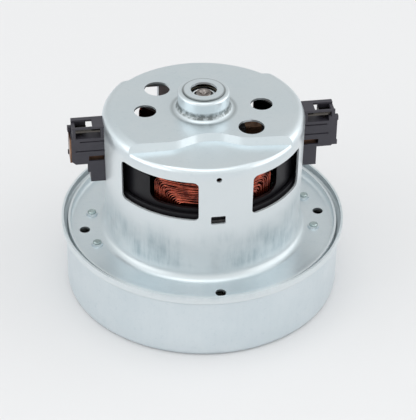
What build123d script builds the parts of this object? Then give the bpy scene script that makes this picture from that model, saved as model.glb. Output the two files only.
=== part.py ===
"""Dry vacuum-cleaner motor that stands on the inlet face of its fan cover.

The Z axis is the shaft, z = 0 is the flat face round the air inlet and the brush
holders lie along X. Lengths are millimetres, angles are degrees.
"""

from build123d import *
import math
import os

os.makedirs("parts", exist_ok=True)

# Sheet metal and shared clearances
sheet = 1.0
seat_gap = 0.05
running_gap = 0.5
cut_over = 2.0

# Fan cover: a drawn can with a flared lip and an inlet whose edge turns in
cover_lip_flare = 2.0
cover_height = 35.5
cover_lip_height = 5.2
cover_lip_slope = 1.6
cover_lip_bend = 1.2
cover_bend = 2.4
inlet_radius = 18.0
inlet_depth = 4.6
inlet_bend = 1.8

# Motor frame: a drawn cup with an outer flange, an embossed top and a bearing boss
frame_top_radius = 47.2
frame_taper = 0.9
flange_width = 19.2
frame_top = 94.4
frame_bend = 2.3
ledge_top = 91.0
ledge_droop = 0.9
flange_top = 30.0
flange_fillet = 4.2
rim_top = 33.6
rim_bend = 1.6
boss_top = 104.4
boss_step = 0.6
boss_plateau_radius = 9.7
boss_shoulder = 1.8
boss_foot = 3.0
boss_hole_radius = 6.1
boss_inside_bend = 0.9

# Embossed step between the raised panel and the two sunken ledges
step_side = 27.8
step_crown = 22.3
step_slope = 0.46
step_crown_half = 4.0
step_foot_half = 16.0
step_bend = 14.0
step_turn = -2.0
raised_stand = 0.03
raised_bend = 5.0
inner_bevel_share = 0.62

# Vent holes in the top: radius of the hole, its distance out and its angle
vent_large_radius = 6.0
vent_large_place = 27.0
vent_large_angle = -44.8
vent_small_radius = 5.15
vent_small_place = 27.1
vent_small_angle = -1.1

# Windows in the frame wall, with the strip between them
window_low = 63.6
window_high = 84.5
window_corner = 2.4
left_window_angles = (-150.6, -101.2)
right_window_angles = (-70.0, -29.6)
strip_angle = -90.0
strip_hole_radius = 1.3
strip_hole_height = 85.9
strip_slot_width = 6.7
strip_slot_low = 61.5
strip_slot_high = 65.8
strip_slot_corner = 0.6

# Holes and screws in the flange
flange_hole_radius = 2.5
flange_hole_share = 0.547
flange_hole_angle = 0.0
screw_share = 0.38
screw_spread = 13.3
screw_radius = 1.95
screw_head_radius = 3.5
screw_head_height = 2.4
screw_recess_radius = 1.1
screw_recess_depth = 1.4
screw_tip = 1.9
screw_tip_chamfer = 0.5
burr_radius = 3.0
burr_height = 1.1
burr_top_radius = 2.45

# Ball bearings, both of one size
bearing_bore_radius = 4.0
bearing_radius = 11.0
bearing_width = 7.0
bearing_chamfer = 0.4
bearing_inner_wall = 2.0
bearing_outer_wall = 1.9
ball_radius = 1.984
ball_gap = 0.04
ball_count = 7
cage_thickness = 0.8
cage_half_height = 2.5
upper_bearing_drop = 1.4
lower_bearing_rise = 0.1

# Bearing bracket under the flange
bracket_sheet = 1.5
bracket_edge_gap = 4.5
bracket_arm_half = 17.5
bracket_hub_radius = 22.0
bracket_bend = 1.0
bracket_lip_radius = 8.2
bracket_vent_length = 15.0
bracket_vent_width = 20.0
bracket_vent_place = 36.0
bracket_vent_corner = 4.0
bracket_pin_hole_gap = 0.3

# Shaft
shaft_body_radius = 5.0
shaft_top_gap = 1.6
shaft_chamfer = 0.7
shaft_centre_radius = 1.5
shaft_centre_mouth = 2.3
shaft_centre_depth = 3.0
shaft_low = 6.2

# Laminated stacks
stack_low = 43.0
stack_high = 63.0
stator_gap = 0.03
yoke_wall = 5.3
pole_half_width = 14.5
pole_shoe_radius = 25.6
pole_shoe_half_angle = 62.0
stator_bore_radius = 22.0
armature_radius = 21.5
armature_slots = 12
slot_bottom_radius = 11.5
slot_half_width = 2.6
slot_mouth_half = 1.1
slot_roof = 1.6

# Armature winding and commutator
end_turn_inner = 6.4
end_turn_outer = 20.2
end_turn_high = 6.0
end_turn_low = 5.2
end_turn_bend = 1.6
commutator_radius = 13.0
commutator_hub_radius = 9.5
commutator_bars = 24
commutator_slot = 0.5
commutator_over = 0.6
riser_height = 1.9
riser_radius = 14.6
hub_over = 1.1

# Insulator frames over the ends of the poles
insulator_sheet = 1.4
insulator_edge_gap = 0.6
insulator_ledge = 2.0
insulator_rim_height = 2.6
insulator_rim = 1.2
insulator_wall = 1.3
insulator_wall_top = 80.0
insulator_half_angle = 72.0
insulator_shoe_gap = 0.4
insulator_lap = 0.5
notch_half_angle = 43.0
notch_low = 67.4
notch_corner = 4.5

# Field coils
coil_yoke_gap = 0.8
coil_shoe_gap = 3.0
coil_core_skin = 0.35
coil_core_half_angle = 42.0
coil_core_inner_angle = 24.0
coil_top = 79.4
coil_low = 30.2
coil_bend = 3.0
wire_radius = 0.55
wire_pitch = 1.6
wire_turns = 8
wire_corner = 3.0
wire_sides = 4
wire_roll = 45
wire_samples = 900

# Brush gear
brush_height = 78.0
brush_tall = 11.0
brush_wide = 6.0
brush_length = 27.0
brush_bevel = 0.8
brush_slack = 0.12
brush_air = 0.08
brush_pocket_radius = 2.3
brush_pocket_depth = 2.0
tube_wall = 0.6
tube_inner_end = 19.5
tube_cap = 0.6
spring_radius = 2.0
spring_wire = 0.28
spring_curls = 9
spring_end_gap = 0.15

# Brush holder moulding, measured outwards along X and up
holder_half = 4.6
holder_sleeve_end = 27.0
holder_leg_end = 53.4
holder_end = 62.0
holder_top_end = 61.4
holder_low = 61.0
body_low = 71.0
body_high = 85.0
holder_top = 91.0
holder_plate = 1.0
holder_corner = 1.8
holder_wall_gap = 0.35
post_width = 1.5
channel_rear_wall = 1.2
channel_open_end = 54.6
latch_slot_start = 52.0
latch_hook = 1.1
latch_hook_drop = 2.3
latch_slot_rear = 2.2
latch_rail = 0.9
groove_height = 0.7
groove_depth = 0.5
groove_upper = 83.2
groove_lower = 78.2
groove_upper_end = 58.0
groove_lower_end = 60.2
groove_end_low = 73.2
groove_end_high = 81.4
side_notch_low = 72.5
side_notch_height = 2.7
side_notch_depth = 1.6
end_lug_height = 2.3
end_lug_reach = 1.1
end_lug_half = 2.2
end_lug_rise = 0.6
leg_rib = 1.3
leg_rib_drop = 4.6
inner_flange_half = 7.4
inner_flange_thickness = 1.6
inner_flange_over = 0.6
tab_sheet = 0.8
tab_half = 3.15
tab_neck_half = 1.4
tab_height = 87.4
strap_half = 1.6
strap_place = 57.0

# Diffuser
diffuser_plate = 2.0
diffuser_edge_gap = 4.5
diffuser_bore = 13.5
diffuser_vane = 1.4
diffuser_vanes = 15
diffuser_vane_root_gap = 2.0
diffuser_vane_tip_gap = 1.5
diffuser_vane_sweep = 17.0
vane_lead_share = 0.38
return_vanes = 8
return_inner = 26.0
return_edge_gap = 12.0
return_sweep = 42.0
vane_foot_gap = 0.3

# Impeller
impeller_vane_gap = 10.0
impeller_sheet = 1.0
impeller_back = 16.0
impeller_eye = 19.8
impeller_eye_low = 3.0
impeller_eye_high = 6.4
impeller_rim_height = 8.4
impeller_bend = 2.0
blade_count = 7
blade_sheet = 0.9
blade_inner = 21.5
blade_edge_gap = 1.2
blade_sweep = 62.0
collar_radius = 7.0
washer_radius = 11.0
washer_height = 1.4
nut_across = 13.0
nut_height = 6.5

# Heights and radii that follow from the sizes above
frame_base_radius = frame_top_radius - frame_taper
cover_radius = frame_base_radius + flange_width
cover_lip_radius = cover_radius + cover_lip_flare
flange_hole_place = frame_base_radius + flange_width * flange_hole_share
screw_place = frame_base_radius + flange_width * screw_share
bracket_radius = cover_radius - sheet - bracket_edge_gap
yoke_inner_radius = frame_base_radius - sheet - yoke_wall
coil_outer_radius = yoke_inner_radius - coil_yoke_gap
coil_inner_radius = pole_shoe_radius + coil_shoe_gap
insulator_radius = frame_base_radius - sheet - insulator_edge_gap
insulator_wall_outer = insulator_radius - insulator_ledge
insulator_wall_inner = insulator_wall_outer - insulator_wall
insulator_base_inner = pole_shoe_radius + insulator_shoe_gap
diffuser_radius = cover_radius - sheet - diffuser_edge_gap
diffuser_vane_outer = cover_radius - sheet - diffuser_vane_tip_gap
impeller_radius = diffuser_radius - impeller_vane_gap
diffuser_vane_inner = impeller_radius + diffuser_vane_root_gap
return_outer = diffuser_radius - return_edge_gap
blade_outer = impeller_radius - blade_edge_gap
flange_bottom = flange_top - sheet
rim_outer = cover_radius - sheet - seat_gap
rim_inner = rim_outer - sheet
boss_inner = bearing_radius + seat_gap / 5
boss_radius = boss_inner + sheet
boss_roof = boss_top - sheet
raised_low = ledge_top - 2 * frame_bend
upper_bearing_low = boss_roof - upper_bearing_drop - bearing_width
bracket_low = flange_bottom - bracket_sheet
lower_bearing_low = bracket_low + bracket_sheet - bearing_chamfer + lower_bearing_rise
bracket_roof = lower_bearing_low + bearing_width
diffuser_low = impeller_back + impeller_sheet + running_gap * 3
brush_low = brush_height - brush_tall / 2
brush_high = brush_height + brush_tall / 2
brush_inner = commutator_radius + brush_air
brush_end = brush_inner + brush_length
tube_half_wide = brush_wide / 2 + brush_slack + tube_wall
tube_half_tall = brush_tall / 2 + brush_slack + tube_wall
bar_low = brush_low - commutator_over
bar_high = brush_high + commutator_over


def wall_radius(height):
    """Outer radius of the tapered frame wall at a height."""
    share = (height - flange_top) / (frame_top - flange_top)
    return frame_base_radius + (frame_top_radius - frame_base_radius) * share


def at(radius, angle, height=0):
    """Point at a distance from the shaft, at an angle seen from above."""
    turn = math.radians(angle)
    return (radius * math.cos(turn), radius * math.sin(turn), height)


def facing(angle, height):
    """Plane through the shaft at a height, looking out along an angle."""
    out = at(1, angle)
    return Plane(origin=(0, 0, height), x_dir=at(1, angle + 90), z_dir=out)


def nearest(shapes, x, y):
    """Corner of a flat outline that lies nearest a point of its own plane."""
    return shapes.sort_by_distance((x, y, 0))[0]


def write(piece, name):
    """Label a finished piece and write it to its own file."""
    piece.part.label = name
    export_step(piece.part, f"parts/{name}.step")


# Fan cover
with BuildPart() as fan_cover:
    with BuildSketch(Plane.XZ):
        with BuildLine():
            FilletPolyline(
                (inlet_radius, inlet_depth),
                (inlet_radius, 0),
                (cover_radius, 0),
                (cover_radius, cover_height - cover_lip_height),
                (cover_lip_radius, cover_height - cover_lip_height + cover_lip_slope),
                (cover_lip_radius, cover_height),
                radius=[inlet_bend, cover_bend, cover_lip_bend, cover_lip_bend],
            )
            offset(amount=sheet, side=Side.LEFT)
        make_face()
    revolve(axis=Axis.Z)
write(fan_cover, "fan_cover")


def step_outline(height, inset):
    """Area of one sunken ledge at a height, up to the sloping step round the boss."""
    shift = inset + (height + inset - (ledge_top + frame_top) / 2) * step_slope
    side = step_side - shift
    crown = step_crown - shift
    reach = frame_top_radius + cut_over
    with BuildSketch(Plane.XY.offset(height)) as outline:
        with BuildLine():
            FilletPolyline(
                (-reach, -side),
                (-step_foot_half, -side),
                (-step_crown_half, -crown),
                (step_crown_half, -crown),
                (step_foot_half, -side),
                (reach, -side),
                radius=step_bend,
            )
            Polyline((reach, -side), (reach, -reach), (-reach, -reach), (-reach, -side))
        make_face()
    return outline.sketch


def cup_form(inset):
    """Solid under the drawn cup's skin, all of it drawn in by the same inset."""
    bend = frame_bend - inset
    with BuildPart() as form:
        with BuildSketch(Plane.XZ) as wall:
            with BuildLine():
                Polyline(
                    (0, flange_bottom - inset),
                    (cover_radius if inset else rim_outer, flange_bottom - inset),
                    (cover_radius if inset else rim_outer, flange_top - inset),
                    (frame_base_radius - inset, flange_top - inset),
                    (wall_radius(ledge_top) - inset, ledge_top - inset),
                    (0, ledge_top - inset),
                    close=True,
                )
            make_face()
            foot = nearest(wall.vertices(), frame_base_radius - inset, flange_top - inset)
            if inset:
                chamfer(foot, (flange_fillet + inset) * inner_bevel_share)
            else:
                fillet(foot, flange_fillet)
            head = nearest(wall.vertices(), wall_radius(ledge_top) - inset, ledge_top - inset)
            if inset:
                chamfer(head, bend * inner_bevel_share)
            else:
                fillet(head, bend)
        revolve(axis=Axis.Z)
        for turn in (0, 180):
            for hand in (1, -1):
                droop = [
                    (hand * step_foot_half, ledge_top - inset),
                    (hand * frame_top_radius, ledge_top - inset - ledge_droop),
                    (hand * frame_top_radius, ledge_top + cut_over),
                    (hand * step_foot_half, ledge_top + cut_over),
                ]
                with BuildSketch(Plane.XZ) as wedge:
                    with BuildLine():
                        Polyline(*droop, close=True)
                    make_face()
                side_cut = extrude(
                    wedge.sketch, amount=frame_top_radius, mode=Mode.PRIVATE
                )
                add(side_cut.rotate(Axis.Z, turn + step_turn), mode=Mode.SUBTRACT)
    with BuildPart() as raised:
        with BuildSketch(Plane.XZ) as disc:
            with BuildLine():
                Polyline(
                    (0, raised_low - inset),
                    (wall_radius(raised_low) - inset + raised_stand, raised_low - inset),
                    (frame_top_radius - inset + raised_stand, frame_top - inset),
                    (0, frame_top - inset),
                    close=True,
                )
            make_face()
            head = nearest(disc.vertices(), frame_top_radius - inset + raised_stand, frame_top - inset)
            fillet(head, raised_bend - inset)
        revolve(axis=Axis.Z)
        ledge_cut = loft(
            [
                step_outline(raised_low - cut_over, inset),
                step_outline(frame_top + sheet, inset),
            ],
            mode=Mode.PRIVATE,
        )
        for turn in (0, 180):
            add(ledge_cut.rotate(Axis.Z, turn + step_turn), mode=Mode.SUBTRACT)
    with BuildPart() as whole:
        add(form.part)
        add(raised.part)
    return whole.part


# Motor frame
with BuildPart() as motor_frame:
    add(cup_form(0))
    with BuildSketch(Plane.XZ) as boss:
        with BuildLine():
            Polyline(
                (0, frame_top - sheet / 2),
                (boss_radius + boss_foot + sheet, frame_top - sheet / 2),
                (boss_radius + boss_foot + sheet, frame_top),
                (boss_radius, frame_top),
                (boss_radius, boss_top - boss_step),
                (boss_plateau_radius, boss_top - boss_step),
                (boss_plateau_radius, boss_top),
                (0, boss_top),
                close=True,
            )
        make_face()
        fillet(nearest(boss.vertices(), boss_radius, frame_top), boss_foot)
        fillet(nearest(boss.vertices(), boss_radius, boss_top - boss_step), boss_shoulder - boss_step)
        chamfer(nearest(boss.vertices(), boss_plateau_radius, boss_top), boss_step / 3)
    revolve(axis=Axis.Z)
    with BuildSketch(Plane.XZ):
        with BuildLine():
            FilletPolyline(
                (rim_inner, rim_top),
                (rim_inner, flange_top),
                (rim_inner - flange_fillet, flange_top),
                radius=rim_bend,
            )
            offset(amount=sheet, side=Side.LEFT)
        make_face()
    revolve(axis=Axis.Z)
    add(cup_form(sheet), mode=Mode.SUBTRACT)
    with BuildSketch(Plane.XZ) as bearing_seat:
        with BuildLine():
            Polyline(
                (0, frame_top - 2 * sheet),
                (boss_inner, frame_top - 2 * sheet),
                (boss_inner, boss_roof),
                (0, boss_roof),
                close=True,
            )
        make_face()
        chamfer(nearest(bearing_seat.vertices(), boss_inner, boss_roof), boss_inside_bend)
    revolve(axis=Axis.Z, mode=Mode.SUBTRACT)
    with BuildSketch(Plane.XY.offset(boss_roof)):
        Circle(boss_hole_radius)
    extrude(amount=2 * sheet, mode=Mode.SUBTRACT)
    with BuildSketch(Plane.XY.offset(frame_top - 3 * sheet)):
        for turn in (0, 180):
            with Locations(at(vent_large_place, vent_large_angle + turn)):
                Circle(vent_large_radius)
            with Locations(at(vent_small_place, vent_small_angle + turn)):
                Circle(vent_small_radius)
    extrude(amount=4 * sheet, mode=Mode.SUBTRACT)
    for start, end in (left_window_angles, right_window_angles):
        width = 2 * frame_top_radius * math.sin(math.radians((end - start) / 2))
        middle = (window_low + window_high) / 2
        for turn in (0, 180):
            with BuildSketch(facing((start + end) / 2 + turn, middle).offset(yoke_inner_radius)):
                RectangleRounded(width, window_high - window_low, window_corner)
            extrude(amount=frame_top_radius, mode=Mode.SUBTRACT)
    with BuildSketch(facing(strip_angle, 0).offset(yoke_inner_radius)):
        with Locations((0, strip_hole_height)):
            Circle(strip_hole_radius)
        with Locations((0, (strip_slot_low + strip_slot_high) / 2)):
            RectangleRounded(strip_slot_width, strip_slot_high - strip_slot_low, strip_slot_corner)
    extrude(amount=frame_top_radius - yoke_inner_radius + cut_over, mode=Mode.SUBTRACT)
    for turn in (0, 180):
        with BuildSketch(facing(turn, (holder_low + holder_top) / 2).offset(yoke_inner_radius)):
            Rectangle(
                2 * (holder_half + seat_gap),
                holder_top - holder_low + 2 * seat_gap,
            )
        extrude(amount=frame_top_radius - yoke_inner_radius + cut_over, mode=Mode.SUBTRACT)
    screw_angles = [
        flange_hole_angle + turn + hand * screw_spread for turn in (0, 180) for hand in (1, -1)
    ]
    for angle in screw_angles:
        with Locations(at(screw_place, angle, flange_top - sheet / 2)):
            Cone(
                burr_radius,
                burr_top_radius,
                burr_height + sheet / 2,
                align=(Align.CENTER, Align.CENTER, Align.MIN),
            )
    with BuildSketch(Plane.XY.offset(flange_bottom - cut_over)):
        for angle in screw_angles:
            with Locations(at(screw_place, angle)):
                Circle(screw_radius + seat_gap)
        for turn in (0, 90, 180, 270):
            with Locations(at(flange_hole_place, flange_hole_angle + turn)):
                Circle(flange_hole_radius)
    extrude(amount=cut_over + sheet + 2 * burr_height, mode=Mode.SUBTRACT)
write(motor_frame, "motor_frame")

# Bearing bracket: a flat bar with a drawn cup for the lower bearing
cup_inner = bearing_radius + seat_gap / 5
with BuildPart() as bearing_bracket:
    with BuildSketch(Plane.XY.offset(bracket_low)):
        Circle(bracket_radius)
        Rectangle(2 * bracket_radius, 2 * bracket_arm_half, mode=Mode.INTERSECT)
        Circle(bracket_hub_radius)
        Circle(cup_inner, mode=Mode.SUBTRACT)
        for hand in (1, -1):
            with Locations((hand * bracket_vent_place, 0)):
                RectangleRounded(
                    bracket_vent_length,
                    bracket_vent_width,
                    bracket_vent_corner,
                    mode=Mode.SUBTRACT,
                )
            with Locations(at(flange_hole_place, flange_hole_angle + 90 - hand * 90)):
                Circle(flange_hole_radius + bracket_pin_hole_gap, mode=Mode.SUBTRACT)
        for angle in screw_angles:
            with Locations(at(screw_place, angle)):
                Circle(screw_radius + seat_gap, mode=Mode.SUBTRACT)
    extrude(amount=bracket_sheet)
    with BuildSketch(Plane.XZ) as cup:
        with BuildLine():
            Polyline(
                (cup_inner, bracket_low + bracket_sheet),
                (cup_inner + bracket_sheet, bracket_low + bracket_sheet),
                (cup_inner + bracket_sheet, bracket_roof + bracket_sheet),
                (bracket_lip_radius, bracket_roof + bracket_sheet),
                (bracket_lip_radius, bracket_roof),
                (cup_inner, bracket_roof),
                close=True,
            )
        make_face()
        shoulder = (cup_inner + bracket_sheet, bracket_roof + bracket_sheet)
        chamfer(nearest(cup.vertices(), *shoulder), bracket_bend)
    revolve(axis=Axis.Z)
write(bearing_bracket, "bearing_bracket")

# Flange screws: pan heads under the bracket, tips just above the flange
with BuildPart() as flange_screws:
    for angle in screw_angles:
        with Locations(at(screw_place, angle, bracket_low)):
            Cylinder(
                screw_head_radius,
                screw_head_height,
                align=(Align.CENTER, Align.CENTER, Align.MAX),
            )
            Cylinder(
                screw_radius,
                flange_top - bracket_low + screw_tip,
                align=(Align.CENTER, Align.CENTER, Align.MIN),
            )
    tips = flange_screws.edges().group_by(Axis.Z)[-1]
    chamfer(tips, screw_tip_chamfer)
    heads = flange_screws.edges().group_by(Axis.Z)[0]
    chamfer(heads, screw_tip_chamfer)
    with BuildSketch(Plane.XY.offset(bracket_low - screw_head_height)):
        for angle in screw_angles:
            with Locations(at(screw_place, angle)):
                RegularPolygon(screw_recess_radius, 4)
    extrude(amount=screw_recess_depth, mode=Mode.SUBTRACT)
write(flange_screws, "flange_screws")

# Ball bearings: rings, ball cage and balls for the top and the bottom of the shaft
pitch_radius = (bearing_bore_radius + bearing_radius) / 2
inner_land = bearing_bore_radius + bearing_inner_wall
outer_land = bearing_radius - bearing_outer_wall
for place, low in (("upper", upper_bearing_low), ("lower", lower_bearing_low)):
    middle = low + bearing_width / 2
    rings = {
        "outer_ring": (outer_land, bearing_radius, bearing_radius),
        "inner_ring": (bearing_bore_radius + seat_gap / 5, inner_land, bearing_bore_radius),
    }
    for ring_name, (start, end, bevel_side) in rings.items():
        with BuildPart() as ring:
            with BuildSketch(Plane.XZ) as section:
                with Locations(((start + end) / 2, middle)):
                    Rectangle(end - start, bearing_width)
                bevelled = section.vertices().sort_by_distance((bevel_side, middle, 0))[0:2]
                chamfer(bevelled, bearing_chamfer)
                with Locations((pitch_radius, middle)):
                    Circle(ball_radius + ball_gap, mode=Mode.SUBTRACT)
            revolve(axis=Axis.Z)
        write(ring, f"{place}_bearing_{ring_name}")
    ball_places = [at(pitch_radius, index * 360 / ball_count, middle) for index in range(ball_count)]
    with BuildPart() as balls:
        with Locations(*ball_places):
            Sphere(ball_radius)
    write(balls, f"{place}_bearing_balls")
    with BuildPart() as cage:
        with Locations((0, 0, middle)):
            Cylinder(pitch_radius + cage_thickness / 2, 2 * cage_half_height)
            Cylinder(pitch_radius - cage_thickness / 2, 2 * cage_half_height, mode=Mode.SUBTRACT)
        for index in range(ball_count):
            with BuildSketch(facing(index * 360 / ball_count, middle)):
                Rectangle(2 * (ball_radius + ball_gap), 2 * (ball_radius + ball_gap))
            extrude(amount=bearing_radius, mode=Mode.SUBTRACT)
    write(cage, f"{place}_bearing_cage")

# Dished washer that preloads the upper bearing
with BuildPart() as preload_washer:
    with BuildSketch(Plane.XZ):
        with BuildLine():
            Polyline(
                (outer_land, upper_bearing_low + bearing_width + seat_gap),
                (boss_inner - boss_inside_bend, boss_roof - boss_inside_bend / 2),
                (boss_inner - 2 * boss_inside_bend, boss_roof - seat_gap),
                (outer_land - boss_inside_bend, upper_bearing_low + bearing_width + boss_inside_bend),
                close=True,
            )
        make_face()
    revolve(axis=Axis.Z)
write(preload_washer, "preload_washer")

# Shaft
shaft_top = boss_top - shaft_top_gap
with BuildPart() as shaft:
    with BuildSketch(Plane.XZ) as shaft_section:
        with BuildLine():
            Polyline(
                (0, shaft_low),
                (bearing_bore_radius, shaft_low),
                (bearing_bore_radius, lower_bearing_low + bearing_width),
                (shaft_body_radius, lower_bearing_low + bearing_width),
                (shaft_body_radius, upper_bearing_low),
                (bearing_bore_radius, upper_bearing_low),
                (bearing_bore_radius, shaft_top),
                (shaft_centre_mouth, shaft_top),
                (shaft_centre_radius, shaft_top - shaft_chamfer),
                (0, shaft_top - shaft_centre_depth),
                close=True,
            )
        make_face()
        chamfer(nearest(shaft_section.vertices(), bearing_bore_radius, shaft_top), shaft_chamfer)
        chamfer(nearest(shaft_section.vertices(), bearing_bore_radius, shaft_low), shaft_chamfer)
    revolve(axis=Axis.Z)
write(shaft, "shaft")

# Stator stack: round yoke with a pole at the front and at the back
stator_radius = wall_radius(stack_low) - sheet - stator_gap
with BuildPart() as stator_core:
    with BuildSketch(Plane.XY.offset(stack_low)):
        Circle(stator_radius)
        Circle(yoke_inner_radius, mode=Mode.SUBTRACT)
        Rectangle(2 * pole_half_width, 2 * (yoke_inner_radius + sheet))
        with BuildSketch(mode=Mode.PRIVATE) as shoes:
            Circle(pole_shoe_radius)
            for turn in (0, 180):
                with BuildLine():
                    Polyline(
                        (0, 0),
                        at(2 * pole_shoe_radius, turn - 90 + pole_shoe_half_angle),
                        at(2 * pole_shoe_radius, turn + 90 - pole_shoe_half_angle),
                        close=True,
                    )
                make_face(mode=Mode.SUBTRACT)
        add(shoes.sketch)
        Circle(stator_bore_radius, mode=Mode.SUBTRACT)
    extrude(amount=stack_high - stack_low)
write(stator_core, "stator_core")

# Armature stack with its slots
slot_top = armature_radius - slot_roof
with BuildPart() as armature_core:
    with BuildSketch(Plane.XY.offset(stack_low)):
        Circle(armature_radius)
        Circle(shaft_body_radius + seat_gap / 5, mode=Mode.SUBTRACT)
        with PolarLocations((slot_bottom_radius + slot_top) / 2, armature_slots):
            Rectangle(slot_top - slot_bottom_radius, 2 * slot_half_width, mode=Mode.SUBTRACT)
        with PolarLocations(armature_radius, armature_slots):
            Rectangle(4 * slot_roof, 2 * slot_mouth_half, mode=Mode.SUBTRACT)
    extrude(amount=stack_high - stack_low)
write(armature_core, "armature_core")

# Armature winding: the bundled end turns at both ends and the wires in the slots
with BuildPart() as armature_windings:
    for low, high in (
        (stack_low - end_turn_low, stack_low - seat_gap),
        (stack_high + seat_gap, stack_high + end_turn_high),
    ):
        with BuildSketch(Plane.XZ) as bundle:
            with Locations(((end_turn_inner + end_turn_outer) / 2, (low + high) / 2)):
                Rectangle(end_turn_outer - end_turn_inner, high - low)
            chamfer(bundle.vertices(), end_turn_bend)
        revolve(axis=Axis.Z)
    with BuildSketch(Plane.XY.offset(stack_low - end_turn_low / 2)):
        with PolarLocations((slot_bottom_radius + slot_top) / 2, armature_slots):
            Rectangle(
                slot_top - slot_bottom_radius - 4 * seat_gap,
                2 * (slot_half_width - 2 * seat_gap),
            )
    extrude(amount=stack_high - stack_low + (end_turn_low + end_turn_high) / 2)
write(armature_windings, "armature_windings")

# Commutator: moulded hub and copper bars with risers
with BuildPart() as commutator_hub:
    with BuildSketch(Plane.XY.offset(bar_low - riser_height)):
        Circle(commutator_hub_radius)
        Circle(shaft_body_radius + seat_gap / 5, mode=Mode.SUBTRACT)
    extrude(amount=bar_high - bar_low + riser_height + hub_over)
    chamfer(commutator_hub.edges().group_by(Axis.Z)[-1].sort_by(SortBy.LENGTH)[-1], hub_over / 2)
write(commutator_hub, "commutator_hub")

with BuildPart() as commutator:
    with BuildSketch(Plane.XZ):
        with BuildLine():
            Polyline(
                (commutator_hub_radius + seat_gap / 5, bar_low - riser_height),
                (riser_radius, bar_low - riser_height),
                (riser_radius, bar_low),
                (commutator_radius, bar_low),
                (commutator_radius, bar_high),
                (commutator_hub_radius + seat_gap / 5, bar_high),
                close=True,
            )
        make_face()
    revolve(axis=Axis.Z)
    with BuildSketch(Plane.XY.offset(bar_low - riser_height)):
        with PolarLocations(commutator_radius, commutator_bars):
            Rectangle(2 * (commutator_radius - commutator_hub_radius), commutator_slot)
    extrude(amount=bar_high - bar_low + riser_height, mode=Mode.SUBTRACT)
write(commutator, "commutator_bars")


def insulator_frame(turn):
    """Insulator over one pole: end plate, rim and the curved wall with its notch."""
    with BuildPart() as frame:
        with BuildSketch(Plane.XY.offset(stack_high)):
            with Locations((0, -(insulator_base_inner + yoke_inner_radius) / 2)):
                Rectangle(
                    2 * (pole_half_width + insulator_lap),
                    yoke_inner_radius - insulator_base_inner + insulator_lap,
                )
        extrude(amount=insulator_sheet)
        with BuildSketch(Plane.XZ):
            with Locations(
                ((yoke_inner_radius + insulator_radius) / 2, stack_high + insulator_sheet / 2)
            ):
                Rectangle(insulator_radius - yoke_inner_radius, insulator_sheet)
            with Locations(
                (insulator_radius - insulator_rim / 2, stack_high + insulator_rim_height / 2)
            ):
                Rectangle(insulator_rim, insulator_rim_height)
            with Locations(
                (
                    (insulator_wall_inner + insulator_wall_outer) / 2,
                    (stack_high + insulator_wall_top) / 2,
                )
            ):
                Rectangle(
                    insulator_wall_outer - insulator_wall_inner,
                    insulator_wall_top - stack_high,
                )
        wall = revolve(
            axis=Axis.Z, revolution_arc=2 * insulator_half_angle, mode=Mode.PRIVATE
        )
        add(wall.rotate(Axis.Z, -90 - insulator_half_angle))
        notch_width = 2 * insulator_wall_outer * math.sin(math.radians(notch_half_angle))
        notch_height = 2 * (insulator_wall_top - notch_low)
        with BuildSketch(facing(-90, notch_low + notch_height / 2).offset(pole_shoe_radius)):
            RectangleRounded(notch_width, notch_height, notch_corner)
        extrude(amount=insulator_radius, mode=Mode.SUBTRACT)
    with BuildPart() as turned:
        add(frame.part.rotate(Axis.Z, turn))
    return turned


def coil_core(turn):
    """Bundle of one field coil round its pole, bent to the round of the yoke."""
    outer = coil_outer_radius - coil_core_skin - wire_radius
    middle = (coil_low + coil_top) / 2
    with BuildPart() as core:
        with BuildSketch(Plane.XZ) as ring:
            with Locations(((coil_inner_radius + outer) / 2, middle)):
                RectangleRounded(outer - coil_inner_radius, coil_top - coil_low, sheet)
        whole = revolve(
            axis=Axis.Z, revolution_arc=2 * coil_core_half_angle, mode=Mode.PRIVATE
        )
        add(whole.rotate(Axis.Z, -90 - coil_core_half_angle))
        hole = 2 * outer * math.sin(math.radians(coil_core_inner_angle))
        hole_low = stack_low - seat_gap
        hole_high = stack_high + insulator_sheet + seat_gap
        with BuildSketch(facing(-90, (hole_low + hole_high) / 2)):
            Rectangle(hole, hole_high - hole_low)
        extrude(amount=insulator_radius, mode=Mode.SUBTRACT)
    with BuildPart() as turned:
        add(core.part.rotate(Axis.Z, turn))
    return turned


def winding_points(turn):
    """Corner places of the outer layer: angles of the sides and heights of the runs."""
    step = math.degrees(wire_pitch / coil_outer_radius)
    places = []
    for index in range(wire_turns):
        spread = coil_core_half_angle - (wire_turns - 1 - index) * step
        top = coil_top - wire_radius - (wire_turns - 1 - index) * wire_pitch
        bottom = coil_low + wire_radius + (wire_turns - 1 - index) * wire_pitch
        places.append((turn - 90, spread, top, bottom, step))
    return places


def winding_bend(angle, height, hand, lift):
    """Quarter turn from a side, which stands up, into a level run."""
    across = Vector(*at(hand, angle + 90))
    corner = Vector(*at(coil_outer_radius, angle, height))
    centre = corner + across * wire_corner - Vector(0, 0, lift * wire_corner)
    middle = centre + (Vector(0, 0, lift) - across) * (wire_corner * math.sqrt(0.5))
    return (
        corner - Vector(0, 0, lift * wire_corner),
        middle,
        corner + across * wire_corner,
    )


def winding_run(start_angle, start, end_angle, end, height):
    """Level run: one arc that leaves one bend and meets the next in line."""
    half = math.radians(abs(end_angle - start_angle) / 2)
    shift = wire_corner / math.sin(half)
    reach = shift + coil_outer_radius - shift * math.cos(half)
    return ThreePointArc(start, at(reach, (start_angle + end_angle) / 2, height), end)


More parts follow.
